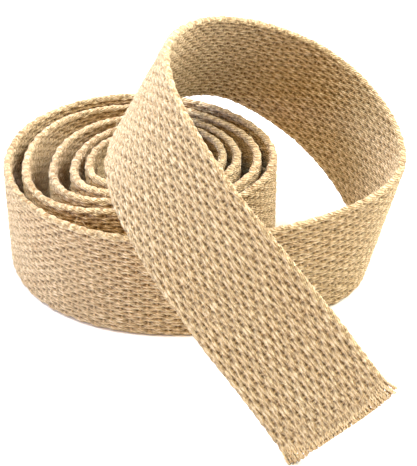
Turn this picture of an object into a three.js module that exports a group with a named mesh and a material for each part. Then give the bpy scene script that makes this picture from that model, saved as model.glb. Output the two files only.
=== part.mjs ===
import * as THREE from "three";

// A roll of cotton webbing standing on its edge, in millimetres with Z up.
// The strap is one length: wound coil, open loop, slack fold and hanging tail.

// Strap section
const strapWidth = 38;
const strapThickness = 2.8;
const selvedgeBevel = 0.6;

// Where the coil's centre stands in the frame
const coilCentre = { x: -22.2, y: 34.4 };

// Radius of the strap's middle at eight sides of each turn, wound outwards
const coilTurns = [
  { left: 10.5, frontLeft: 13.5, front: 15.6, frontRight: 19, right: 22, backRight: 20.5, back: 17.5, backLeft: 16 },
  { left: 17, frontLeft: 20.5, front: 20, frontRight: 24, right: 28, backRight: 26.5, back: 23.5, backLeft: 20.5 },
  { left: 21.5, frontLeft: 26.5, front: 24.5, frontRight: 29, right: 33, backRight: 31, back: 29, backLeft: 28 },
  { left: 29, frontLeft: 33.5, front: 29.2, frontRight: 36, right: 40, backRight: 37, back: 36.5, backLeft: 38.5 },
  { left: 39, frontLeft: 41, front: 35, frontRight: 41.5, right: 45.5, backRight: 44, back: 44.5, backLeft: 46.5 },
  { left: 45.7, frontLeft: 47, front: 51 },
];
const sideOrder = ["left", "frontLeft", "front", "frontRight", "right", "backRight", "back", "backLeft"];
const sideAngle = Math.PI / 4;
const radiusPastCoil = 59;
const coilStep = 3.5;
const tangentReach = 0.01;

// Loose length, from the coil to the cut end.
// Bend is the turn in degrees per 100 mm, slant is how far its axis leans off the cross line.
const looseLength = [
  { at: 0, bend: 70, slant: 0 },
  { at: 30, bend: 65, slant: 0 },
  { at: 60, bend: 45, slant: 2 },
  { at: 90, bend: 195, slant: 25 },
  { at: 120, bend: 95, slant: 22 },
  { at: 150, bend: 160, slant: 5 },
  { at: 180, bend: 140, slant: -15 },
  { at: 210, bend: 100, slant: 25 },
  { at: 240, bend: 60, slant: 0 },
  { at: 270, bend: 125, slant: -22 },
  { at: 300, bend: 85, slant: -18 },
  { at: 340, bend: 40, slant: -24 },
  { at: 389, bend: -60, slant: 4 },
];
const looseStep = 2.4;

// Frayed end: each column of yarn is a pair of locks, one over the other, on a thin backing strip
const frayGap = 0.3;
const frayBacking = 0.9;
const fraySection = { width: 37.2, thickness: 2.4 };
const lockColumns = 25;
const lockLayers = 2;
const lockSegments = 3;
const lockGap = 0.12;
const lockTipShare = 0.62;
const lockUneven = 0.25;
const floorClearance = 0.1;
const raisedLocks = 9;

// Length of the loose yarn in mm and its sideways fan in degrees, across the cut end
const frayLocks = [
  { across: -19, length: 5.6, fan: -4 },
  { across: -15, length: 4.6, fan: 8 },
  { across: -11, length: 1.9, fan: 3 },
  { across: -4, length: 1.3, fan: 0 },
  { across: 4, length: 1.6, fan: 0 },
  { across: 12, length: 2.2, fan: 3 },
  { across: 19, length: 3.8, fan: 10 },
];

function radians(degrees) {
  return (degrees * Math.PI) / 180;
}

// Value of a named column of a table at a place along its key column
function lookUp(table, key, column, place) {
  let row = 1;
  while (row < table.length - 1 && table[row][key] < place) row += 1;
  const before = table[row - 1];
  const after = table[row];
  const share = (place - before[key]) / (after[key] - before[key]);
  return before[column] + (after[column] - before[column]) * Math.min(Math.max(share, 0), 1);
}

// Smooth radius through the coil's table
const coilRadii = coilTurns.flatMap((turn) => sideOrder.filter((side) => side in turn).map((side) => turn[side]));
const radiusBeforeCoil = 2 * coilRadii[0] - coilRadii[1];

function coilRadius(place) {
  const index = Math.min(Math.floor(place), coilRadii.length - 2);
  const u = place - index;
  const first = index > 0 ? coilRadii[index - 1] : radiusBeforeCoil;
  const from = coilRadii[index];
  const to = coilRadii[index + 1];
  const last = index + 2 < coilRadii.length ? coilRadii[index + 2] : radiusPastCoil;
  const cubic = 3 * (from - to) + last - first;
  const square = 2 * first - 5 * from + 4 * to - last;
  return from + 0.5 * u * (to - first + u * (square + u * cubic));
}

function coilPoint(place) {
  const angle = Math.PI + place * sideAngle;
  const radius = coilRadius(place);
  return new THREE.Vector3(radius * Math.cos(angle), radius * Math.sin(angle), strapWidth / 2);
}

// Stations of the coil: the strap stands upright, its outer face turned away from the centre
function coilStations() {
  const stations = [];
  const across = new THREE.Vector3(0, 0, 1);
  const places = coilRadii.length - 1;
  for (let side = 0; side < places; side += 1) {
    const steps = Math.ceil((coilRadii[side + 1] * sideAngle) / coilStep);
    for (let step = 0; step < steps; step += 1) {
      const place = side + step / steps;
      const ahead = coilPoint(Math.min(place + tangentReach, places));
      const behind = coilPoint(Math.max(place - tangentReach, 0));
      const along = ahead.sub(behind).normalize();
      stations.push({ centre: coilPoint(place), along, across: across.clone(), slant: 0 });
    }
  }
  return stations;
}

// Stations of the loose length: the strap turns about slanted lines that lie in it, so it never stretches
function looseStations() {
  const places = coilRadii.length - 1;
  const centre = coilPoint(places);
  const along = centre.clone().sub(coilPoint(places - tangentReach)).normalize();
  const across = new THREE.Vector3(0, 0, 1);
  const total = looseLength[looseLength.length - 1].at;
  const steps = Math.ceil(total / looseStep);
  const stride = total / steps;
  const stations = [{ centre: centre.clone(), along: along.clone(), across: across.clone(), slant: 0 }];
  for (let step = 0; step < steps; step += 1) {
    const middle = (step + 0.5) * stride;
    const slant = radians(lookUp(looseLength, "at", "slant", middle));
    const turn = radians(lookUp(looseLength, "at", "bend", middle)) * (stride / 100);
    const axis = across.clone().multiplyScalar(Math.cos(slant)).addScaledVector(along, Math.sin(slant));
    centre.addScaledVector(along.clone().applyAxisAngle(axis, turn / 2), stride);
    along.applyAxisAngle(axis, turn);
    across.applyAxisAngle(axis, turn);
    const here = radians(lookUp(looseLength, "at", "slant", (step + 1) * stride));
    stations.push({ centre: centre.clone(), along: along.clone(), across: across.clone(), slant: here });
  }
  return stations;
}

// A point of the strap at a station: across its width, and out from its middle layer
function strapPoint(station, acrossWidth, outward) {
  const out = new THREE.Vector3().crossVectors(station.along, station.across);
  return station.centre
    .clone()
    .addScaledVector(station.across, acrossWidth)
    .addScaledVector(station.along, acrossWidth * Math.tan(station.slant))
    .addScaledVector(out, outward);
}

function meshFrom(name, points, faces, color) {
  const geometry = new THREE.BufferGeometry();
  geometry.setAttribute("position", new THREE.Float32BufferAttribute(points.flatMap((p) => p.toArray()), 3));
  geometry.setIndex(faces.flat());
  geometry.computeVertexNormals();
  const material = new THREE.MeshStandardMaterial({ color, roughness: 0.95, metalness: 0 });
  const mesh = new THREE.Mesh(geometry, material);
  mesh.name = name;
  return mesh;
}

// Corners of the strap's section, going round from the bottom outer corner
const halfWidth = strapWidth / 2;
const halfThickness = strapThickness / 2;
const section = [
  { width: -halfWidth, out: halfThickness - selvedgeBevel },
  { width: -halfWidth, out: -halfThickness + selvedgeBevel },
  { width: -halfWidth + selvedgeBevel, out: -halfThickness },
  { width: halfWidth - selvedgeBevel, out: -halfThickness },
  { width: halfWidth, out: -halfThickness + selvedgeBevel },
  { width: halfWidth, out: halfThickness - selvedgeBevel },
  { width: halfWidth - selvedgeBevel, out: halfThickness },
  { width: -halfWidth + selvedgeBevel, out: halfThickness },
];

// Rings of the section joined along the strap, closed by flat ends
function webbingMesh(stations) {
  const corners = section.length;
  const points = stations.flatMap((station) => section.map((corner) => strapPoint(station, corner.width, corner.out)));
  const faces = [];
  for (let ring = 0; ring < stations.length - 1; ring += 1) {
    for (let corner = 0; corner < corners; corner += 1) {
      const here = ring * corners + corner;
      const beside = ring * corners + ((corner + 1) % corners);
      faces.push([here, beside, here + corners], [beside, beside + corners, here + corners]);
    }
  }
  const lastRing = (stations.length - 1) * corners;
  for (let corner = 1; corner < corners - 1; corner += 1) {
    faces.push([0, corner + 1, corner], [lastRing, lastRing + corner, lastRing + corner + 1]);
  }
  return meshFrom("webbing", points, faces, 0xd9c19a);
}

// A point beyond the strap's cut end
function frayPoint(end, acrossWidth, outward, forward) {
  return strapPoint(end, acrossWidth, outward).addScaledVector(end.along, frayGap + forward);
}

// Four corners of one lock at a share of its length
function lockRing(end, column, layer, share) {
  const pitch = fraySection.width / lockColumns;
  const depth = fraySection.thickness / lockLayers;
  const root = -fraySection.width / 2 + (column + 0.5) * pitch;
  const middle = -fraySection.thickness / 2 + (layer + 0.5) * depth;
  const uneven = 1 + lockUneven * Math.sin(column * 2.3 + layer * 1.7);
  const length = lookUp(frayLocks, "across", "length", root) * uneven * share;
  const fan = Math.tan(radians(lookUp(frayLocks, "across", "fan", root))) * length;
  const size = 1 - (1 - lockTipShare) * share;
  const halfPitch = (pitch / 2 - lockGap) * size;
  const halfDepth = (depth / 2 - lockGap) * size;
  const signs = [[-1, -1], [1, -1], [1, 1], [-1, 1]];
  return signs.map(([side, face]) =>
    frayPoint(end, root + fan + side * halfPitch, middle + face * halfDepth, frayBacking + length),
  );
}

// Rise that keeps the lowest corner's yarn lying on the floor, fading over the locks beside it
function lockRise(end, column, share) {
  const lowest = Math.min(...lockRing(end, 0, 0, share).map((corner) => corner.z));
  return Math.max(floorClearance - lowest, 0) * Math.max(1 - column / raisedLocks, 0);
}

// Backing strip with its locks grown from the cells of its front face
function frayMesh(end) {
  const points = [];
  const faces = [];
  const columns = lockColumns + 1;
  const rows = lockLayers + 1;
  const gridCorner = (column, row) => column * rows + row;
  for (const forward of [0, frayBacking]) {
    for (let column = 0; column < columns; column += 1) {
      for (let row = 0; row < rows; row += 1) {
        const width = (column / lockColumns - 0.5) * fraySection.width;
        const out = (row / lockLayers - 0.5) * fraySection.thickness;
        points.push(frayPoint(end, width, out, forward));
      }
    }
  }
  const front = columns * rows;
  for (let column = 0; column < lockColumns; column += 1) {
    for (let layer = 0; layer < lockLayers; layer += 1) {
      const cell = [
        gridCorner(column, layer),
        gridCorner(column + 1, layer),
        gridCorner(column + 1, layer + 1),
        gridCorner(column, layer + 1),
      ];
      faces.push([cell[0], cell[2], cell[1]], [cell[0], cell[3], cell[2]]);
      let ring = cell.map((corner) => corner + front);
      for (let segment = 0; segment <= lockSegments; segment += 1) {
        const share = segment / lockSegments;
        const rise = lockRise(end, column, share);
        const next = lockRing(end, column, layer, share).map((corner) => {
          points.push(corner.setZ(corner.z + rise));
          return points.length - 1;
        });
        for (let side = 0; side < 4; side += 1) {
          const after = (side + 1) % 4;
          faces.push([ring[side], ring[after], next[side]], [ring[after], next[after], next[side]]);
        }
        ring = next;
      }
      faces.push([ring[0], ring[1], ring[2]], [ring[0], ring[2], ring[3]]);
    }
  }
  const rim = [];
  for (let column = 0; column < lockColumns; column += 1) rim.push(gridCorner(column, 0));
  for (let row = 0; row < lockLayers; row += 1) rim.push(gridCorner(lockColumns, row));
  for (let column = lockColumns; column > 0; column -= 1) rim.push(gridCorner(column, lockLayers));
  for (let row = lockLayers; row > 0; row -= 1) rim.push(gridCorner(0, row));
  rim.forEach((corner, index) => {
    const after = rim[(index + 1) % rim.length];
    faces.push([corner, after, corner + front], [after, after + front, corner + front]);
  });
  return meshFrom("frayed_end", points, faces, 0xe0cba6);
}

const coil = coilStations();
const loose = looseStations();
const webbing = webbingMesh([...coil, ...loose]);
const frayedEnd = frayMesh(loose[loose.length - 1]);

const roll = new THREE.Group();
roll.name = "cotton_webbing_roll";
roll.add(webbing, frayedEnd);
roll.position.set(coilCentre.x, coilCentre.y, 0);

export default roll;
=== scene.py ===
import math

import bpy
import numpy as np
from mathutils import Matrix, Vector


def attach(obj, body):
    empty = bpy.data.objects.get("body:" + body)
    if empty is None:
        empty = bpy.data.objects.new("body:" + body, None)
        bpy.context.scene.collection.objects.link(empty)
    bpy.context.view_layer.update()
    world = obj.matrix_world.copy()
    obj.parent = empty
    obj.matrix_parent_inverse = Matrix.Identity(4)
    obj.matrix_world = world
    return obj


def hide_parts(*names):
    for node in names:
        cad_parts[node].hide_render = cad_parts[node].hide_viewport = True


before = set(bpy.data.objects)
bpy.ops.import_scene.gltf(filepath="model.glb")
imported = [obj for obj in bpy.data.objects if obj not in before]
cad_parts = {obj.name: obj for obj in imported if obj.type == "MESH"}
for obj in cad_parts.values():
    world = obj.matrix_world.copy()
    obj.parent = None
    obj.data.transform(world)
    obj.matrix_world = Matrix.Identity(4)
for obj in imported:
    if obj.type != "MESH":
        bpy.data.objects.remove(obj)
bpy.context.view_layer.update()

# The woven strap in mm; its rounded edges stand edgeDepth out past the flat of its faces
strap = {"width": 38.0, "thickness": 3.1, "columns": 25, "edgeDepth": 1.2, "edgeSteps": 6}
columnPitch = strap["width"] / strap["columns"]
middleColumn = (strap["columns"] - 1) / 2
halfWidth = strap["width"] / 2
flatHalf = halfWidth - strap["edgeDepth"]

# Radii of the coil in mm, an eighth of a turn apart, from the core out to where the loop leaves
coilCentre = np.array([-22.2, 34.4, 0.0])
coilTurns = [
    {
        "left": 10.5, "frontLeft": 13.5, "front": 15.6, "frontRight": 19,
        "right": 22, "backRight": 20.5, "back": 17.5, "backLeft": 16,
    },
    {
        "left": 17, "frontLeft": 20.5, "front": 20, "frontRight": 24,
        "right": 28, "backRight": 26.5, "back": 23.5, "backLeft": 20.5,
    },
    {
        "left": 21.5, "frontLeft": 26.5, "front": 24.5, "frontRight": 29,
        "right": 33, "backRight": 31, "back": 29, "backLeft": 28,
    },
    {
        "left": 29, "frontLeft": 33.5, "front": 29.2, "frontRight": 36,
        "right": 40, "backRight": 37, "back": 36.5, "backLeft": 38.5,
    },
    {
        "left": 39, "frontLeft": 41, "front": 35, "frontRight": 41.5,
        "right": 45.5, "backRight": 44, "back": 44.5, "backLeft": 46.5,
    },
    {"left": 45.7, "frontLeft": 47, "front": 51},
]
radiusPastCoil = 59.0
eighthTurn = math.pi / 4
coilSamples = 8000

# The loop and the tail: places along them in mm, bend in degrees per 100 mm, and slant of its axis in degrees
looseBends = [
    {"at": 0, "bend": 70, "slant": 0},
    {"at": 30, "bend": 65, "slant": 0},
    {"at": 60, "bend": 45, "slant": 2},
    {"at": 90, "bend": 195, "slant": 25},
    {"at": 120, "bend": 95, "slant": 22},
    {"at": 150, "bend": 160, "slant": 5},
    {"at": 180, "bend": 140, "slant": -15},
    {"at": 210, "bend": 100, "slant": 25},
    {"at": 240, "bend": 60, "slant": 0},
    {"at": 270, "bend": 125, "slant": -22},
    {"at": 300, "bend": 85, "slant": -18},
    {"at": 340, "bend": 40, "slant": -24},
    {"at": 389, "bend": -60, "slant": 4},
]
bendUnit = 100
looseStep = 0.5
pathMargin = 12.0
cutAllowance = 2.2  # the cloth ends this far past the last place above

# Across the cut: how far the cloth and beyond it the yarn stand out, in mm, and the yarn's fan in degrees
frayLocks = [
    {"across": -19, "cloth": 0.2, "length": 2.2, "fan": -9},
    {"across": -13.5, "cloth": 0.6, "length": 2.5, "fan": -9},
    {"across": -12.3, "cloth": 1.6, "length": 0.8, "fan": -4},
    {"across": -9, "cloth": 2.3, "length": 0.45, "fan": 0},
    {"across": 0, "cloth": 2.2, "length": 0.35, "fan": 0},
    {"across": 5, "cloth": 2.0, "length": 0.5, "fan": 1},
    {"across": 10, "cloth": 1.1, "length": 1.2, "fan": 4},
    {"across": 14, "cloth": -0.1, "length": 2.0, "fan": 9},
    {"across": 17, "cloth": -1.0, "length": 2.6, "fan": 15},
    {"across": 19, "cloth": -1.6, "length": 2.0, "fan": 18},
]


def listed(table, name):
    return np.array([row[name] for row in table], dtype=float)


def unit(vectors):
    return vectors / np.linalg.norm(vectors, axis=-1, keepdims=True)


def turned(vector, axis, angle):
    cosine = math.cos(angle)
    sine = math.sin(angle)
    return vector * cosine + np.cross(axis, vector) * sine + axis * np.dot(axis, vector) * (1 - cosine)


# A smooth curve through the radii of the coil
def coilPath():
    radii = [radius for turn in coilTurns for radius in turn.values()]
    padded = np.array([2 * radii[0] - radii[1]] + radii + [radiusPastCoil])
    places = np.linspace(0, len(radii) - 1, coilSamples)
    index = np.minimum(places.astype(int), len(radii) - 2)
    u = places - index
    first, start, end, last = (padded[index + shift] for shift in range(4))
    cubic = 3 * (start - end) + last - first
    square = 2 * first - 5 * start + 4 * end - last
    radius = start + 0.5 * u * (end - first + u * (square + u * cubic))
    angle = math.pi + places * eighthTurn
    height = np.full_like(radius, halfWidth)
    centre = np.stack([radius * np.cos(angle), radius * np.sin(angle), height], axis=1)
    length = np.concatenate([[0], np.cumsum(np.linalg.norm(np.diff(centre, axis=0), axis=1))])
    along = unit(np.gradient(centre, length, axis=0))
    across = np.tile([0.0, 0.0, 1.0], (coilSamples, 1))
    lean = np.zeros(coilSamples)
    return {"length": length, "centre": centre, "along": along, "across": across, "lean": lean}


# The strap turns about slanted lines that lie in it, so it never stretches
def loosePath(centre, along, startLength):
    at, bends, slants = (listed(looseBends, name) for name in ("at", "bend", "slant"))
    across = np.array([0.0, 0.0, 1.0])
    rows = {"length": [], "centre": [], "along": [], "across": [], "lean": []}
    for step in range(int((at[-1] + pathMargin) / looseStep)):
        middle = (step + 0.5) * looseStep
        slant = math.radians(np.interp(middle, at, slants))
        turn = math.radians(np.interp(middle, at, bends)) * looseStep / bendUnit
        axis = across * math.cos(slant) + along * math.sin(slant)
        centre = centre + turned(along, axis, turn / 2) * looseStep
        along = turned(along, axis, turn)
        across = turned(across, axis, turn)
        place = (step + 1) * looseStep
        rows["length"].append(startLength + place)
        rows["centre"].append(centre)
        rows["along"].append(along)
        rows["across"].append(across)
        rows["lean"].append(math.tan(math.radians(np.interp(place, at, slants))))
    return {name: np.array(values) for name, values in rows.items()}


coil = coilPath()
coilLength = coil["length"][-1]
loose = loosePath(coil["centre"][-1], coil["along"][-1], coilLength)
path = {name: np.concatenate([coil[name], loose[name]]) for name in coil}
strapLength = coilLength + looseBends[-1]["at"] + cutAllowance
endLean = math.tan(math.radians(looseBends[-1]["slant"]))
print("path", round(coilLength, 1), "mm wound and", round(strapLength, 1), "mm in all")


# Places on the strap in mm, from the flat length, the place across and the height off the middle layer
def strapPoints(flat, across, height):
    place = np.empty_like(flat)
    for index, cross in enumerate(across):
        place[:, index] = np.interp(flat[:, index], path["length"] + cross * path["lean"], path["length"])

    def read(name):
        return np.stack([np.interp(place, path["length"], values) for values in path[name].T], axis=-1)

    alongHere = unit(read("along"))
    acrossHere = unit(read("across"))
    outHere = np.cross(alongHere, acrossHere)
    lean = np.interp(place, path["length"], path["lean"])
    base = read("centre") + across[None, :, None] * (acrossHere + lean[..., None] * alongHere)
    return base + height[..., None] * outHere + coilCentre, acrossHere


# Columns of paired strands rise and dip by turns, with neighbours half a repeat apart
weave = {
    "repeat": 5.9,  # mm along the strap
    "lift": 0.26,  # mm from the middle height to the top of a float
    "dip": 1.5,  # depth of a dip, in lifts
    "floatPower": 0.8,  # low for broad floats
    "dipPower": 1.7,  # high for narrow dips
    "strand": 0.34,  # place of each strand of a pair and its radius, in column pitches
    "strandRadius": 0.35,
    "round": 0.42,  # mm that a strand falls away at its side
    "roundPower": 2.2,
    "skew": 0.03,  # mm that the rows lean for each mm across
}
# Spreads of the random draws that keep the weave from being too even
uneven = {
    "phase": 0.22,  # radians, from column to column
    "lift": 0.2,  # share of a float's height
    "shift": 0.09,  # column pitches sideways
    "rows": 0.4,  # mm along the strap
    "edges": 0.14,  # mm that an edge sways
    "knotSpacing": 14.0,  # mm between the draws for rows and edges
}
# Near the cut the strands lie free of the weft, for some mm by their place across
freeStrands = {
    "across": [-19, -13, 13, 19],
    "length": [3.6, 0.6, 0.6, 3.0],
    "vary": (0.6, 1.4),
    "fade": 1.2,  # mm over which the weave dies out
    "lift": 0.08,  # share of it that stays
}

# The draws also cover a little more than the strap, so that no place on it falls outside them
spareColumns = 2
spareRepeats = 4
spareLength = 40
columnCount = strap["columns"] + 2 * spareColumns
floatCount = 2 * (int(strapLength / weave["repeat"]) + spareRepeats)
knotCount = math.ceil((strapLength + spareLength) / uneven["knotSpacing"])
columnPlaces = (np.arange(columnCount) - spareColumns - middleColumn) * columnPitch
weaveDraw = np.random.default_rng(38)
columnPhase = weaveDraw.normal(0, uneven["phase"], columnCount)
floatLift = weaveDraw.normal(1, uneven["lift"], (columnCount, floatCount))
floatShift = weaveDraw.normal(0, uneven["shift"], (columnCount, floatCount))
freeLength = weaveDraw.uniform(*freeStrands["vary"], columnCount)
freeLength *= np.interp(columnPlaces, freeStrands["across"], freeStrands["length"])
rowWobble = weaveDraw.normal(0, uneven["rows"], knotCount)
edgeWobble = weaveDraw.normal(0, uneven["edges"], (2, knotCount))


def smoothNoise(flat, knots):
    place = np.clip(flat / uneven["knotSpacing"], 0, len(knots) - 1.001)  # stays below the last knot
    index = place.astype(int)
    u = place - index
    u = u * u * (3 - 2 * u)
    return knots[index] * (1 - u) + knots[index + 1] * u


def weaveRows(flat, across):
    return flat + smoothNoise(flat, rowWobble) + weave["skew"] * across


# Height of the weave in mm off its middle height, on the outer face (1) or the inner one (-1)
def weaveRelief(flat, across, face):
    faceTurn = 0.5 if face < 0 else 0.0  # a float on one face is a dip on the other
    rows = weaveRows(flat, across)
    place = across / columnPitch + middleColumn
    nearest = np.round(place).astype(int)
    surface = np.full(flat.shape, -np.inf)
    for shift in (-1, 0, 1):
        yarn = np.clip(nearest + shift, -spareColumns, strap["columns"] + spareColumns - 1)
        spot = yarn + spareColumns
        turn = rows / weave["repeat"] + 0.5 * (yarn % 2) + faceTurn
        wave = np.cos(2 * math.pi * turn + columnPhase[spot])
        strength = np.abs(wave)
        dip = -weave["dip"] * strength ** weave["dipPower"]
        lift = np.where(wave > 0, strength ** weave["floatPower"], dip)
        knot = np.clip(np.round(turn * 2).astype(int), 0, floatCount - 1)
        woven = np.clip((strapLength - freeLength[spot] - flat) / freeStrands["fade"], freeStrands["lift"], 1)
        lift = lift * floatLift[spot, knot] * woven
        sideways = np.abs(place - yarn - floatShift[spot, knot])
        fall = (np.abs(sideways - weave["strand"]) / weave["strandRadius"]) ** weave["roundPower"]
        surface = np.maximum(surface, weave["lift"] * lift - weave["round"] * fall)
    return surface


# Counts half repeats along the strap, so that whole numbers fall on the middles of floats and dips
def weaveBeat(flat, across):
    nearest = np.round(across / columnPitch + middleColumn).astype(int)
    spot = np.clip(nearest + spareColumns, 0, columnCount - 1)
    return 2 * weaveRows(flat, across) / weave["repeat"] + columnPhase[spot] / math.pi


leastGap = 0.1  # mm between the last places of a face


# Places across one face: even, or on the inner turns fine near the top edge and one to a strand below
def facePlaces(perColumn, fineTop):
    if not fineTop:
        return np.linspace(-flatHalf, flatHalf, round(2 * flatHalf / columnPitch * perColumn) + 1)
    strands = (np.arange(2 * strap["columns"]) + 0.5) * columnPitch / 2 - halfWidth
    coarse = strands[(strands > -flatHalf) & (strands < flatHalf - fineTop)]
    fine = np.arange(coarse[-1] + columnPitch / 3, flatHalf, columnPitch / perColumn)
    return np.concatenate([[-flatHalf], coarse, fine[fine < flatHalf - leastGap], [flatHalf]])


# Faces of one closed length of strap: round it, and at each end a ladder from one face to the other
def strapFaces(ringCount, faceCount, edgeCount):
    sectionCount = 2 * (faceCount + edgeCount)
    ringStarts = np.arange(ringCount - 1)[:, None] * sectionCount
    here = ringStarts + np.arange(sectionCount)
    beside = ringStarts + (np.arange(sectionCount) + 1) % sectionCount
    quads = np.stack([here, here + sectionCount, beside + sectionCount, beside], axis=-1).reshape(-1, 4)
    half = (edgeCount + 1) // 2
    rungs = [(sectionCount - 1 - rung, 2 * faceCount + edgeCount + rung) for rung in reversed(range(half))]
    rungs += [(rung, 2 * faceCount + edgeCount - 1 - rung) for rung in range(faceCount)]
    rungs += [(faceCount + rung, faceCount + edgeCount - 1 - rung) for rung in range(half)]
    lastRing = (ringCount - 1) * sectionCount
    caps = []
    for before, after in zip(rungs, rungs[1:]):
        corners = list(dict.fromkeys([before[0], after[0], after[1], before[1]]))
        caps.append(corners)
        caps.append([lastRing + corner for corner in reversed(corners)])
    loops = np.concatenate([quads.ravel(), *caps])
    sizes = np.array([4] * len(quads) + [len(cap) for cap in caps])
    return loops, sizes


def addObject(name, data):
    added = bpy.data.objects.new(name, data)
    bpy.context.scene.collection.objects.link(added)
    return added


def triangleCount(mesh):
    return sum(len(polygon.vertices) - 2 for polygon in mesh.polygons)


# The woven edges have small ribs where the weft turns back, uneven in reach and in painted shade
selvedge = {
    "scallop": 0.18,  # mm that the ribs stand out and in
    "weaveShare": 0.3,  # share of the weave's height that carries on over the edge
    "ribShade": 0.15,  # painted shade between the ribs and over the whole edge, as depths in mm
    "rimShade": 0.31,
    "faceShade": 0.8,  # share of the weave's painted shade that the edge loses
    "sideShift": 1.3,  # radians that the ribs of the two edges are shifted, each its own way
    "swayShift": 9.0,  # radians for each mm of sway
    "strength": 0.75,  # of the ribs on average, and how it swings
    "strengthSwing": 0.5,
    "strengthWave": 0.83,  # radians for each mm along the strap and each mm of sway
    "strengthShift": 11.0,
}
# The cloth slides to follow the uneven cut line over its last mm, and painted shade darkens the cloth at the
# cut
cutEnd = {"warp": 20.0, "shade": 0.3}
# Over the fold, where the cloth is drawn tight, the painted shade in the dips on its outer side is lighter;
# places in mm past the coil
foldShadeEasing = {"at": [210, 240, 275, 300], "share": [0, 0.4, 0.4, 0]}
# Light thrown from turn to turn softens the shade of the dips inside the coil, low down and at the top edge
innerShade = {"low": 0.2, "top": 0.88}


# One length of the strap as a closed mesh, with its weave raised in its points
def strapMesh(name, start, end, step, perColumn, fineTop=0.0):
    rings = np.linspace(start, end, int(round((end - start) / step)) + 1)
    rings = np.concatenate([[2 * rings[0] - rings[1]], rings, [2 * rings[-1] - rings[-2]]])
    face = facePlaces(perColumn, fineTop)
    edge = np.linspace(0, math.pi, strap["edgeSteps"] + 1)[1:-1]
    across = np.concatenate([face, np.full(len(edge), face[-1]), face[::-1], np.full(len(edge), face[0])])
    angle = np.concatenate([np.zeros(len(face)), edge, np.full(len(face), math.pi), math.pi - edge])
    side = np.repeat([0, 1, 0, -1], [len(face), len(edge), len(face), len(edge)])
    cutShare = np.clip((rings - strapLength + cutEnd["warp"]) / cutEnd["warp"], 0, 1)
    cut = across * endLean + np.interp(across, listed(frayLocks, "across"), listed(frayLocks, "cloth"))
    flat = rings[:, None] + cut * cutShare[:, None]
    acrossRow = across[None, :]
    outer = (1 + np.cos(angle)) / 2
    relief = outer * weaveRelief(flat, acrossRow, 1) + (1 - outer) * weaveRelief(flat, acrossRow, -1)

    # The rounded edges
    sway = np.where(side > 0, smoothNoise(flat, edgeWobble[0]), smoothNoise(flat, edgeWobble[1]))
    ribTurn = 4 * math.pi * flat / weave["repeat"] + selvedge["swayShift"] * sway
    ribWave = np.cos(ribTurn + selvedge["sideShift"] * side)
    strengthTurn = selvedge["strengthWave"] * flat + selvedge["strengthShift"] * sway
    ribStrength = selvedge["strength"] + selvedge["strengthSwing"] * np.cos(strengthTurn)
    # Painted shade between the ribs
    ribs = selvedge["ribShade"] * ribStrength * (1 - ribWave) / 2
    scallop = selvedge["scallop"] * ribWave * ribStrength
    reach = strap["edgeDepth"] - weave["lift"] + relief * selvedge["weaveShare"] + scallop + sway
    sideways = side * reach * np.sin(angle)

    height = (strap["thickness"] / 2 - weave["lift"] + relief) * np.cos(angle)
    points, acrossHere = strapPoints(flat, across, height)
    points = points + sideways[..., None] * acrossHere
    points[..., 2] = np.maximum(points[..., 2], 0.0)
    # Normals also read the rings just past both ends, so the lengths meet without a visible seam
    roundRing = np.roll(points, -1, axis=1) - np.roll(points, 1, axis=1)
    normals = np.cross(points[2:] - points[:-2], roundRing[1:-1])
    points, relief, flat, sideways, ribs = (grid[1:-1] for grid in (points, relief, flat, sideways, ribs))

    loops, sizes = strapFaces(len(points), len(face), len(edge))
    mesh = bpy.data.meshes.new(name)
    mesh.vertices.add(relief.size)
    mesh.vertices.foreach_set("co", (points / 1000).ravel())
    mesh.loops.add(len(loops))
    mesh.loops.foreach_set("vertex_index", loops)
    mesh.polygons.add(len(sizes))
    mesh.polygons.foreach_set("loop_start", np.concatenate([[0], np.cumsum(sizes)[:-1]]))
    mesh.update(calc_edges=True)

    # The material reads how deep a point lies in the weave, which sets its painted shade and painted
    # highlight, and its place in the repeat
    # Painted shade grows with the depth in the weave; more is added over the edges, their ribs and the cut,
    # and less is left over the fold and inside the coil
    shadeDepth = (weave["lift"] - relief) * (1 - selvedge["faceShade"] * np.sin(angle))
    shadeDepth += (selvedge["rimShade"] + ribs) * np.sin(angle)
    # Painted shade at the cut
    nearCut = (flat - cut - strapLength + freeStrands["fade"]) / freeStrands["fade"]
    shadeDepth += cutEnd["shade"] * np.clip(nearCut, 0, 1)
    shadeDepth *= 1 - outer * np.interp(flat - coilLength, foldShadeEasing["at"], foldShadeEasing["share"])
    if fineTop:
        shadeDepth *= np.interp(across, [flatHalf - fineTop, flatHalf], [innerShade["low"], innerShade["top"]])
    mesh.attributes.new("painted_shade_depth", "FLOAT", "POINT").data.foreach_set("value", shadeDepth.ravel())
    beat = weaveBeat(flat, acrossRow)
    mesh.attributes.new("beat", "FLOAT", "POINT").data.foreach_set("value", beat.ravel())
    clothPlace = np.stack([flat, across + sideways], axis=-1).reshape(-1, 2)
    mesh.uv_layers.new(name="weave").data.foreach_set("uv", clothPlace[loops].ravel())
    if mesh.validate():
        raise ValueError(name + " has faulty faces")
    mesh.normals_split_custom_set_from_vertices(unit(normals).reshape(-1, 3).tolist())
    return addObject(name, mesh)


# Blender's linear values for an sRGB hex colour
def linear(hexColour):
    channels = [int(hexColour[index : index + 2], 16) / 255 for index in (0, 2, 4)]
    return tuple(c / 12.92 if c <= 0.04045 else ((c + 0.055) / 1.055) ** 2.4 for c in channels) + (1.0,)


def addNode(tree, kind, values=None, **settings):
    node = tree.nodes.new(kind)
    for name, value in settings.items():
        setattr(node, name, value)
    for name, value in (values or {}).items():
        if isinstance(value, bpy.types.NodeSocket):
            tree.links.new(value, node.inputs[name])
        else:
            node.inputs[name].default_value = value
    return node


def mixed(tree, amount, first, second):
    return addNode(tree, "ShaderNodeMix", {0: amount, 6: first, 7: second}, data_type="RGBA").outputs[2]


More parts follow.
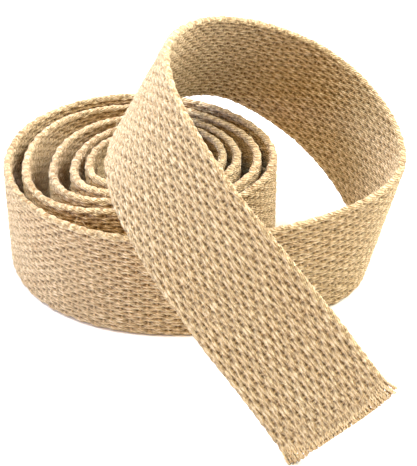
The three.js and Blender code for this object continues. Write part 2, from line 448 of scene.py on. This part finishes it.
def mathNode(tree, operation, first, second=0.0, third=0.0):
    return addNode(tree, "ShaderNodeMath", {0: first, 1: second, 2: third}, operation=operation).outputs[0]


def ranged(tree, value, low, high, toLow=0.0, toHigh=1.0):
    values = {"Value": value, "From Min": low, "From Max": high, "To Min": toLow, "To Max": toHigh}
    return addNode(tree, "ShaderNodeMapRange", values).outputs[0]


def noise(tree, place, scale, detail):
    return addNode(tree, "ShaderNodeTexNoise", {"Vector": place, "Scale": scale, "Detail": detail}).outputs[0]


def stretched(tree, place, scale):
    return addNode(tree, "ShaderNodeMapping", {"Vector": place, "Scale": scale}).outputs[0]


# What both cottons share: matte and a little fuzzy, with a shade for each yarn and fibre streaks along it.
# A range is a low and a high value and, where it has four numbers, what these two turn into
cotton = {
    "streakStretch": (0.8, 2.6, 1.0),  # per mm along and across, for streaks about 1.2 mm by 0.4 mm
    "streaks": (0.38, 0.62),
    "yarnTint": 0.22,
    "mottleScale": 55.0,  # per metre, for patches about 18 mm wide
    "mottles": (0.35, 0.7, 0.0, 0.18),
    "plies": (-0.2, -1.0),
    "twist": 3.5,  # radians for each mm along
    "roughness": 0.92,
    "specular": 0.2,
    "sheen": 0.25,
    "sheenRoughness": 0.6,
    "sheenColour": "fff1dc",
    "bumpDistance": 0.00025,  # metres
}
# Ranges for the painted shade in the dips and the painted highlight on the floats of the woven cloth; the
# ranges of the shade, of the highlight and of the weft's rise start from depths in mm
dips = {
    "weft": (0.5, 0.95),
    "pitShade": (0.18, 0.7, 0.0, 0.92),
    "weftPitShade": (0.0, 1.0, 1.0, 0.08),
    "fillStretch": (0.45, 0.9, 1.0),
    "fill": (0.38, 0.62, 0.88, 1.05),
    "crestHighlight": (0.12, -0.06, 0.0, 0.6),
    "weftRise": (0.2, 0.6, 0.0, 1.2),
}


def cottonMaterial(name, look):
    material = bpy.data.materials.new(name)
    material.use_nodes = True
    tree = material.node_tree
    shader = tree.nodes["Principled BSDF"]
    clothPlace = addNode(tree, "ShaderNodeUVMap", uv_map="weave").outputs[0]
    parts = addNode(tree, "ShaderNodeSeparateXYZ", {0: clothPlace}).outputs
    along = parts[0]
    across = parts[1]
    # Columns are counted from the middle one
    yarn = mathNode(tree, "FLOOR", mathNode(tree, "MULTIPLY_ADD", across, 1 / columnPitch, 0.5))
    yarnShade = addNode(tree, "ShaderNodeTexWhiteNoise", {"W": yarn}, noise_dimensions="1D").outputs[0]
    streakPlace = stretched(tree, clothPlace, cotton["streakStretch"])
    streak = noise(tree, streakPlace, scale=1.0, detail=4.0)
    objectPlace = addNode(tree, "ShaderNodeTexCoord").outputs["Object"]
    mottle = noise(tree, objectPlace, scale=cotton["mottleScale"], detail=3.0)
    streaks = ranged(tree, streak, *cotton["streaks"])
    colour = mixed(tree, streaks, linear(look["dark"]), linear(look["light"]))
    yarnTint = ranged(tree, yarnShade, 0.0, 1.0, 0.0, cotton["yarnTint"])
    colour = mixed(tree, yarnTint, colour, linear(look["warm"]))
    colour = mixed(tree, ranged(tree, mottle, *cotton["mottles"]), colour, linear(look["pale"]))
    # Plies run along each yarn with a slight twist, with painted shade in the gaps between them
    twist = mathNode(tree, "MULTIPLY", along, cotton["twist"])
    plyTurn = mathNode(tree, "ADD", mathNode(tree, "MULTIPLY", across, 2 * math.pi / look["plyPitch"]), twist)
    ply = mathNode(tree, "SINE", plyTurn)
    plyGapShade = ranged(tree, ply, *cotton["plies"], 0.0, look["plyShade"])
    colour = mixed(tree, plyGapShade, colour, linear(look["shadeColour"]))
    fibre = noise(tree, streakPlace, scale=4.0, detail=5.0)
    relief = mathNode(tree, "ADD", mathNode(tree, "MULTIPLY", ply, look["plyDepth"]), fibre)
    if look["woven"]:
        shadeDepth = addNode(tree, "ShaderNodeAttribute", attribute_name="painted_shade_depth").outputs["Fac"]
        beat = addNode(tree, "ShaderNodeAttribute", attribute_name="beat").outputs["Fac"]
        # A weft yarn crosses the middle of each dip, a little below the floats, and takes most of the painted
        # shade off it
        weft = mathNode(tree, "COSINE", mathNode(tree, "MULTIPLY", beat, 2 * math.pi))
        weft = ranged(tree, weft, *dips["weft"])
        pitShade = ranged(tree, shadeDepth, *dips["pitShade"])
        pitShade = mathNode(tree, "MULTIPLY", pitShade, ranged(tree, weft, *dips["weftPitShade"]))
        # Loose fibres half fill some of the dips, so their painted shade varies
        fill = noise(tree, stretched(tree, clothPlace, dips["fillStretch"]), scale=1.0, detail=2.0)
        pitShade = mathNode(tree, "MULTIPLY", pitShade, ranged(tree, fill, *dips["fill"]))
        # A painted highlight on the tops of the floats, and painted shade in the dips
        colour = mixed(tree, ranged(tree, shadeDepth, *dips["crestHighlight"]), colour, linear(look["highlightColour"]))
        colour = mixed(tree, pitShade, colour, linear(look["shadeColour"]))
        weftRise = mathNode(tree, "MULTIPLY", weft, ranged(tree, shadeDepth, *dips["weftRise"]))
        relief = mathNode(tree, "ADD", relief, weftRise)
    tree.links.new(colour, shader.inputs["Base Color"])
    bumpValues = {"Height": relief, "Strength": look["bump"], "Distance": cotton["bumpDistance"]}
    tree.links.new(addNode(tree, "ShaderNodeBump", bumpValues).outputs[0], shader.inputs["Normal"])
    shader.inputs["Roughness"].default_value = cotton["roughness"]
    shader.inputs["Specular IOR Level"].default_value = cotton["specular"]
    shader.inputs["Sheen Weight"].default_value = cotton["sheen"]
    shader.inputs["Sheen Roughness"].default_value = cotton["sheenRoughness"]
    shader.inputs["Sheen Tint"].default_value = linear(cotton["sheenColour"])
    return material


# Undyed cotton cloth: pale cream floats, a warmer tone between them, a painted highlight on the float tops
# and painted brown shade in the small pits beside each weft
webbingLook = {
    "dark": "aa8656",  # the fibre streaks go from dark to light
    "light": "f2d8ac",
    "warm": "deb888",  # tints whole columns, each by its own share
    "pale": "f0dab2",  # large soft patches
    "shadeColour": "5f4520",  # painted shade in the dips and in the thin gaps between plies
    "highlightColour": "fbe9c8",  # painted highlight on the tops of the floats
    "woven": True,
    "plyPitch": 0.5,  # mm
    "plyDepth": 0.6,
    "plyShade": 0.3,
    "bump": 0.9,
}
webbingCotton = cottonMaterial("natural_cotton_webbing", webbingLook)

# Loose cotton yarn: a little paler and softer than the cloth, with no dips
yarnLook = {
    "dark": "d6b486",
    "light": "f0d8ae",
    "warm": "e2c090",
    "pale": "f3dfba",
    # Painted shade in the gaps between the plies
    "shadeColour": "7a5c32",
    "woven": False,
    "plyPitch": 0.4,
    "plyDepth": 0.5,
    "plyShade": 0.35,
    "bump": 0.7,
}
looseCotton = cottonMaterial("loose_cotton_yarn", yarnLook)
print("materials done")

# The strap in six closed lengths that meet on shared rings, with places and steps in mm
innerEnd = 701.0
outerMiddle = 851.0
loopEnd = coilLength + 195.0
strapPieces = {
    "inner_turns_a": {"start": 0.0, "end": innerEnd / 2, "step": 0.9, "perColumn": 5, "fineTop": 12.0},
    "inner_turns_b": {"start": innerEnd / 2, "end": innerEnd, "step": 0.9, "perColumn": 5, "fineTop": 12.0},
    "outer_turn_a": {"start": innerEnd, "end": outerMiddle, "step": 0.78, "perColumn": 7},
    "outer_turn_b": {"start": outerMiddle, "end": coilLength, "step": 0.78, "perColumn": 7},
    "loose_loop": {"start": coilLength, "end": loopEnd, "step": 0.72, "perColumn": 7},
    "loose_tail": {"start": loopEnd, "end": strapLength, "step": 0.72, "perColumn": 7},
}
pieces = {name: strapMesh(name, **sizes) for name, sizes in strapPieces.items()}
for piece in pieces.values():
    piece.data.materials.append(webbingCotton)
    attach(piece, "root")
    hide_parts("webbing")
    print(piece.name, triangleCount(piece.data), "triangles")

# Each strand of the weave ends in two twisted plies, blunt and a little spread; sizes in mm
yarnEnd = {
    "sides": 6,
    "segments": 9,
    "radius": 0.27,
    "tipShare": 0.8,  # of the radius
    "rootDepth": 1.6,  # hidden in the cloth
    "freeFrom": 0.4,  # share of the root's depth before the cut at which a yarn starts to stray
    "twistRadius": 0.16,
    "twistSpread": 0.5,  # share by which the plies part at the tip
    "twist": 2.4,  # radians for each mm
    "pairShare": 0.9,  # of the distance between paired strands in the cloth
    "layers": (-1, 0, 1),
    "layerHeight": 1.13,  # from the middle layer to the outer ones
    "layerShift": 0.12,  # sideways, in column pitches
    "rootDip": 0.5,  # towards the middle layer, at the root and at the tip
    "tipDip": 0.3,
    "narrowing": 0.985,
    "floorGap": 0.05,  # keeps the plies off the floor
}
# Ranges and spreads of the random draws for each strand
strayYarn = {
    "length": (0.8, 1.08),  # share of the lock's length
    "fan": 4.5,  # degrees
    "droop": (-0.02, 0.06),  # mean and spread of the slope
    "curl": 0.008,
    "sideways": 0.08,
    "lift": 0.1,
    "root": (0.5, 1.1),  # share of the free strand that the root reaches back along
}


def yarnEnds():
    draw = np.random.default_rng(11)
    sides = yarnEnd["sides"]
    segments = yarnEnd["segments"]
    cutRow = np.searchsorted(path["length"], strapLength)
    centre, along, across, lean = (path[name][cutRow] for name in ("centre", "along", "across", "lean"))
    outward = np.cross(along, across)
    share = np.linspace(0, 1, segments + 1)
    radius = yarnEnd["radius"] * (1 - (1 - yarnEnd["tipShare"]) * share**4)
    split = yarnEnd["twistRadius"] * (1 + yarnEnd["twistSpread"] * share**3)
    rootDip = yarnEnd["rootDip"] * (1 - share) ** 6
    tipDip = yarnEnd["tipDip"] * share**2
    points = []
    faces = []
    clothPlaces = []
    lockPlaces = listed(frayLocks, "across")
    locks = [listed(frayLocks, name) for name in ("cloth", "length", "fan")]
    pairs = [(pair, layer) for pair in (-1, 1) for layer in yarnEnd["layers"]]
    strands = [(yarn, pair, layer) for yarn in range(strap["columns"]) for pair, layer in pairs]
    for yarn, pair, layer in strands:
        place = yarn - middleColumn + pair * weave["strand"] * yarnEnd["pairShare"]
        root = (place + layer * yarnEnd["layerShift"]) * columnPitch * yarnEnd["narrowing"]
        cloth, length, fan = (np.interp(root, lockPlaces, values) for values in locks)
        length *= draw.uniform(*strayYarn["length"])
        fan = math.radians(fan + draw.normal(0, strayYarn["fan"]))
        droop = draw.normal(*strayYarn["droop"])
        curl = draw.normal(0, strayYarn["curl"])
        phase = draw.uniform(0, 2 * math.pi)
        root += draw.normal(0, strayYarn["sideways"])
        lift = draw.normal(0, strayYarn["lift"])
        rootDepth = yarnEnd["rootDepth"] + freeLength[yarn + spareColumns] * draw.uniform(*strayYarn["root"])
        forward = -rootDepth + (length + rootDepth) * share
        free = np.maximum(forward + rootDepth * yarnEnd["freeFrom"], 0)
        layerPath = yarnEnd["layerHeight"] + lift - rootDip - tipDip
        rootPlace = centre + coilCentre + root * (across + lean * along) + cloth * along
        for ply in (0, 1):
            turn = phase + ply * math.pi + forward * yarnEnd["twist"]
            crossPath = root + math.tan(fan) * free + curl * free**2 + split * np.cos(turn)
            outPath = layer * layerPath + droop * free + split * np.sin(turn)
            middles = rootPlace + np.outer(forward, along) + np.outer(crossPath - root, across)
            middles = middles + np.outer(outPath, outward)
            middles[:, 2] = np.maximum(middles[:, 2], radius + yarnEnd["floorGap"])
            start = len(points)
            for ring in range(segments + 1):
                for corner in range(sides):
                    angle = 2 * math.pi * corner / sides
                    offset = across * math.cos(angle) + outward * math.sin(angle)
                    points.append((middles[ring] + radius[ring] * offset) / 1000)
                    clothAcross = crossPath[ring] + radius[ring] * math.cos(angle)
                    clothPlaces.append((strapLength + forward[ring], clothAcross))
            for ring in range(segments):
                for corner in range(sides):
                    here = start + ring * sides + corner
                    beside = start + ring * sides + (corner + 1) % sides
                    faces.append((here, beside, beside + sides, here + sides))
            tip = start + segments * sides
            faces.append(tuple(range(start, start + sides))[::-1])
            faces.append(tuple(range(tip, tip + sides)))
    mesh = bpy.data.meshes.new("yarn_ends")
    mesh.from_pydata(np.array(points).tolist(), [], faces)
    mesh.polygons.foreach_set("use_smooth", np.ones(len(faces), bool))
    corners = [corner for face in faces for corner in face]
    mesh.uv_layers.new(name="weave").data.foreach_set("uv", np.array(clothPlaces)[corners].ravel())
    mesh.materials.append(looseCotton)
    return addObject("yarn_ends", mesh)


yarnPiece = yarnEnds()
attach(yarnPiece, "root")
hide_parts("frayed_end")
print("yarn_ends", triangleCount(yarnPiece.data), "triangles")

# Stray cotton fibres stand off the faces and edges; sizes in metres and fibres per square metre
fibreSizes = {
    "Density": 30000.0,
    "Length": 0.0028,
    "Rise": 0.0006,
    "Radius": 0.00004,
    "Lowest": 0.0045,  # none grow nearer to the floor
    "Seed": 5,
}
# Shares of the length and rise, tilt in radians, and how the fibres vary in size
fibreShape = {
    "middle": 0.45,
    "endRise": 0.6,
    "tilt": 0.3,
    "shortest": 0.4,
    "longest": 1.3,
    "segments": 4,
    "sides": 3,
}
carrierStep = 3.0  # mm between the rings of the plain strap that they grow on


def fibreTree(material):
    tree = bpy.data.node_groups.new("stray_fibres", "GeometryNodeTree")
    tree.interface.new_socket("Geometry", in_out="INPUT", socket_type="NodeSocketGeometry")
    sockets = {}
    for name in fibreSizes:
        kind = "NodeSocketInt" if name == "Seed" else "NodeSocketFloat"
        sockets[name] = tree.interface.new_socket(name, in_out="INPUT", socket_type=kind).identifier
    tree.interface.new_socket("Geometry", in_out="OUTPUT", socket_type="NodeSocketGeometry")
    inputs = addNode(tree, "NodeGroupInput").outputs
    seed = inputs["Seed"]
    position = addNode(tree, "GeometryNodeInputPosition").outputs[0]
    height = addNode(tree, "ShaderNodeSeparateXYZ", {0: position}).outputs[2]
    clear = addNode(tree, "FunctionNodeCompare", {0: height, 1: inputs["Lowest"]}, operation="GREATER_THAN")
    scatter = addNode(
        tree,
        "GeometryNodeDistributePointsOnFaces",
        {
            "Mesh": inputs["Geometry"],
            "Selection": clear.outputs[0],
            "Density": inputs["Density"],
            "Seed": seed,
        },
    )
    middleAlong = mathNode(tree, "MULTIPLY", inputs["Length"], fibreShape["middle"])
    middle = addNode(tree, "ShaderNodeCombineXYZ", {0: middleAlong, 1: inputs["Rise"], 2: inputs["Rise"]})
    endRise = mathNode(tree, "MULTIPLY", inputs["Rise"], fibreShape["endRise"])
    end = addNode(tree, "ShaderNodeCombineXYZ", {0: inputs["Length"], 2: endRise})
    curve = addNode(
        tree,
        "GeometryNodeCurveQuadraticBezier",
        {
            "Resolution": fibreShape["segments"],
            "Start": (0.0, 0.0, 0.0),
            "Middle": middle.outputs[0],
            "End": end.outputs[0],
        },
    )
    ringValues = {"Resolution": fibreShape["sides"], "Radius": inputs["Radius"]}
    ring = addNode(tree, "GeometryNodeCurvePrimitiveCircle", ringValues)
    tubeValues = {"Curve": curve.outputs[0], "Profile Curve": ring.outputs[0], "Fill Caps": True}
    fibre = addNode(tree, "GeometryNodeCurveToMesh", tubeValues)
    tilt = fibreShape["tilt"]
    spin = addNode(
        tree,
        "FunctionNodeRandomValue",
        {0: (-tilt, -tilt, 0.0), 1: (tilt, tilt, 2 * math.pi), "Seed": seed},
        data_type="FLOAT_VECTOR",
    )
    turn = addNode(
        tree,
        "FunctionNodeRotateRotation",
        {0: scatter.outputs["Rotation"], 1: spin.outputs[0]},
        rotation_space="LOCAL",
    )
    sizeValues = {2: fibreShape["shortest"], 3: fibreShape["longest"], "Seed": seed}
    size = addNode(tree, "FunctionNodeRandomValue", sizeValues, data_type="FLOAT")
    placed = addNode(
        tree,
        "GeometryNodeInstanceOnPoints",
        {
            "Points": scatter.outputs["Points"],
            "Instance": fibre.outputs[0],
            "Rotation": turn.outputs[0],
            "Scale": size.outputs[1],
        },
    )
    plain = addNode(tree, "GeometryNodeRealizeInstances", {0: placed.outputs[0]})
    shaded = addNode(tree, "GeometryNodeSetMaterial", {"Geometry": plain.outputs[0], "Material": material})
    addNode(tree, "NodeGroupOutput", {"Geometry": shaded.outputs[0]})
    return tree, sockets


# The fibres take the place of the plain strap's own mesh
fibrePiece = strapMesh("stray_fibres", 0.0, strapLength, carrierStep, 1)
tree, sockets = fibreTree(looseCotton)
modifier = fibrePiece.modifiers.new("fibres", "NODES")
modifier.node_group = tree
for name, value in fibreSizes.items():
    modifier[sockets[name]] = value
fibreMesh = bpy.data.meshes.new_from_object(fibrePiece.evaluated_get(bpy.context.evaluated_depsgraph_get()))
fibrePiece.modifiers.remove(modifier)
fibrePiece.data = fibreMesh
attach(fibrePiece, "root")
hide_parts("webbing")
print("stray_fibres", triangleCount(fibreMesh), "triangles")

# A plain pale floor of matte paper, bright enough to fade into the background
floorReach = 3.0
floorCorners = [(x * floorReach, y * floorReach, 0) for x, y in ((-1, -1), (1, -1), (1, 1), (-1, 1))]
floorMesh = bpy.data.meshes.new("floor")
floorMesh.from_pydata(floorCorners, [], [(0, 1, 2, 3)])
floorMaterial = bpy.data.materials.new("pale_paper")
floorMaterial.use_nodes = True
floorShader = floorMaterial.node_tree.nodes["Principled BSDF"]
floorShader.inputs["Base Color"].default_value = linear("fafafa")
floorShader.inputs["Roughness"].default_value = 0.9
floorMesh.materials.append(floorMaterial)
floor = addObject("floor", floorMesh)

# Soft boxes all round and above, strongest from the back, over the warm light that the cloth throws on itself
world = bpy.data.worlds.new("studio")
bpy.context.scene.world = world
world.use_nodes = True
world.node_tree.nodes["Background"].inputs["Color"].default_value = linear("ffdaa0")
world.node_tree.nodes["Background"].inputs["Strength"].default_value = 0.22
boxSize = 0.35
boxTarget = Vector((0, 0, 0.03))
softBoxes = [
    {"name": "back_box", "place": (0.0, 0.55, 0.75), "power": 8.9, "colour": "f4ecff"},
    {"name": "back_right_box", "place": (0.65, 0.5, 0.45), "power": 8.0, "colour": "ffffff"},
    {"name": "left_low_box", "place": (-0.9, -0.15, 0.3), "power": 7.4, "colour": "c4d3ff"},
    {"name": "right_box", "place": (0.6, -0.1, 0.7), "power": 6.9, "colour": "fcfff0"},
    {"name": "left_high_box", "place": (-0.55, 0.1, 0.75), "power": 6.1, "colour": "daeeff"},
    {"name": "top_box", "place": (-0.1, 0.03, 0.95), "power": 3.7, "colour": "e6fcff"},
    {"name": "front_box", "place": (-0.3, -0.5, 0.75), "power": 2.8, "colour": "ffce7f"},
]
for box in softBoxes:
    light = bpy.data.lights.new(box["name"], "AREA")
    light.shape = "DISK"
    light.size = boxSize
    light.energy = box["power"]
    light.color = linear(box["colour"])[:3]
    lamp = addObject(box["name"], light)
    lamp.location = box["place"]
    lamp.rotation_euler = (boxTarget - Vector(box["place"])).to_track_quat("-Z", "Y").to_euler()
bpy.context.scene.view_settings.view_transform = "Standard"

# Camera at the photograph's angle: from the front and above the floor by the elevation, in degrees
cameraSetup = {
    "elevation": 33.62,
    "distance": 0.473,
    "target": (0.0010, 0.0422, 0.0),
    "lens": 100.0,
    "sensor": 36.0,
    "nearest": 0.01,
}
cameraData = bpy.data.cameras.new("camera")
cameraData.lens = cameraSetup["lens"]
cameraData.sensor_width = cameraSetup["sensor"]
cameraData.clip_start = cameraSetup["nearest"]
camera = addObject("camera", cameraData)
elevation = math.radians(cameraSetup["elevation"])
target = Vector(cameraSetup["target"])
camera.location = target + Vector((0, -math.cos(elevation), math.sin(elevation))) * cameraSetup["distance"]
camera.rotation_euler = (target - camera.location).to_track_quat("-Z", "Y").to_euler()
bpy.context.scene.camera = camera
print("floor, light and camera done")

bpy.context.view_layer.update()
